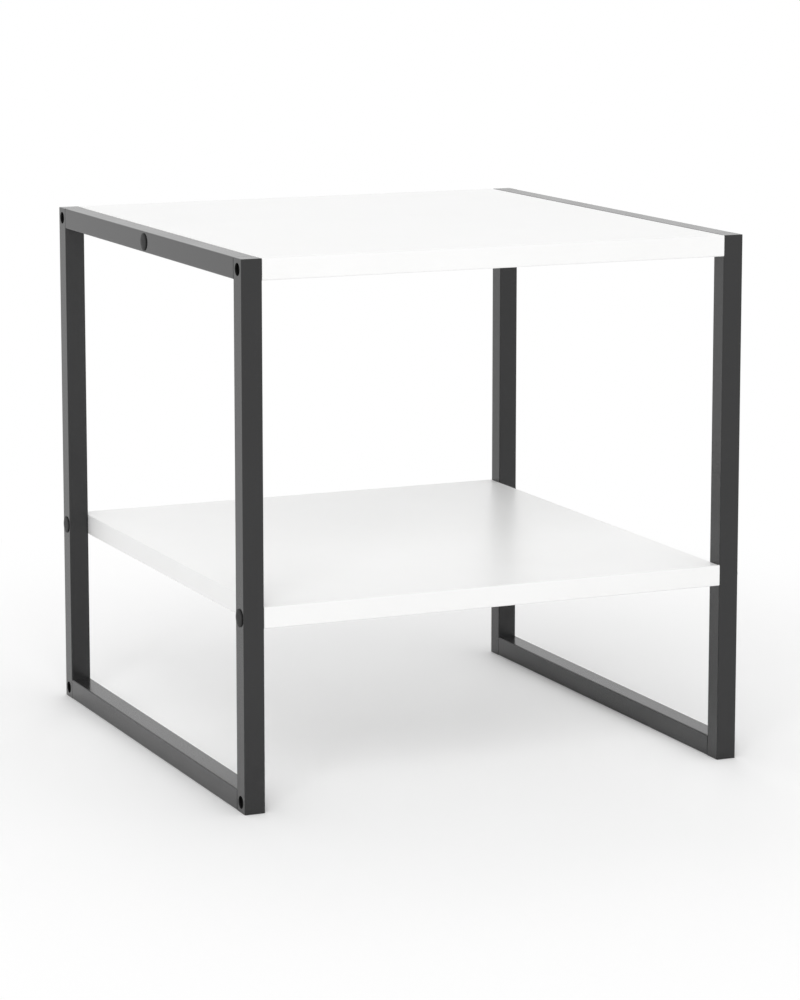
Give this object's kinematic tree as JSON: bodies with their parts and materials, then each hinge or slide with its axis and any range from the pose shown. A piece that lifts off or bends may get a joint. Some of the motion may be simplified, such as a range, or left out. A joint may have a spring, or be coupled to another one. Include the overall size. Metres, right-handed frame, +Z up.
{
  "type": "end table with shelf",
  "caption": "End table with an open shelf: square steel-tube side frames carry a white top board and a white shelf, tied by hidden bolts under round cap plugs.",
  "frame": {"origin": "on the floor, under the middle of the table", "axes": "+X from the left side frame to the right one, as seen from the front; +Y to the back; +Z up"},
  "size_m": [0.407, 0.406, 0.406],
  "materials": {
    "frame_paint": "satin black powder coat",
    "white_board": "white melamine facing, semi-gloss",
    "white_edge_band": "white edge banding, satin",
    "black_plastic": "black moulded plastic, satin",
    "zinc_steel": "zinc plated",
    "black_steel": "black oxide"
  },
  "bodies": {
    "root": {"left_front_upright": "frame_paint", "left_rear_upright": "frame_paint", "right_front_upright": "frame_paint", "right_rear_upright": "frame_paint", "left_top_rail": "frame_paint", "left_bottom_rail": "frame_paint", "right_top_rail": "frame_paint", "right_bottom_rail": "frame_paint", "left_front_bottom_end_plate": "frame_paint", "left_front_top_end_plate": "frame_paint", "left_rear_bottom_end_plate": "frame_paint", "left_rear_top_end_plate": "frame_paint", "right_front_bottom_end_plate": "frame_paint", "right_front_top_end_plate": "frame_paint", "right_rear_bottom_end_plate": "frame_paint", "right_rear_top_end_plate": "frame_paint", "top_board": "white_board", "shelf_board": "white_board", "top_front_edge_band": "white_edge_band", "top_rear_edge_band": "white_edge_band", "top_left_edge_band": "white_edge_band", "top_right_edge_band": "white_edge_band", "shelf_front_edge_band": "white_edge_band", "shelf_rear_edge_band": "white_edge_band", "shelf_left_edge_band": "white_edge_band", "shelf_right_edge_band": "white_edge_band", "left_front_bottom_corner_block": "black_plastic", "left_front_top_corner_block": "black_plastic", "left_rear_bottom_corner_block": "black_plastic", "left_rear_top_corner_block": "black_plastic", "right_front_bottom_corner_block": "black_plastic", "right_front_top_corner_block": "black_plastic", "right_rear_bottom_corner_block": "black_plastic", "right_rear_top_corner_block": "black_plastic", "left_front_bottom_rail_plug": "black_plastic", "left_front_top_rail_plug": "black_plastic", "left_rear_bottom_rail_plug": "black_plastic", "left_rear_top_rail_plug": "black_plastic", "right_front_bottom_rail_plug": "black_plastic", "right_front_top_rail_plug": "black_plastic", "right_rear_bottom_rail_plug": "black_plastic", "right_rear_top_rail_plug": "black_plastic", "left_top_cap_plug": "black_plastic", "left_front_cap_plug": "black_plastic", "left_rear_cap_plug": "black_plastic", "right_top_cap_plug": "black_plastic", "right_front_cap_plug": "black_plastic", "right_rear_cap_plug": "black_plastic", "left_frame_studs": "zinc_steel", "right_frame_studs": "zinc_steel", "top_bolts": "zinc_steel", "shelf_bolts": "zinc_steel", "top_insert_nuts": "zinc_steel", "shelf_insert_nuts": "zinc_steel", "top_locating_pins": "zinc_steel", "left_frame_grub_screws": "black_steel", "right_frame_grub_screws": "black_steel"}
  },
  "joints": []
}
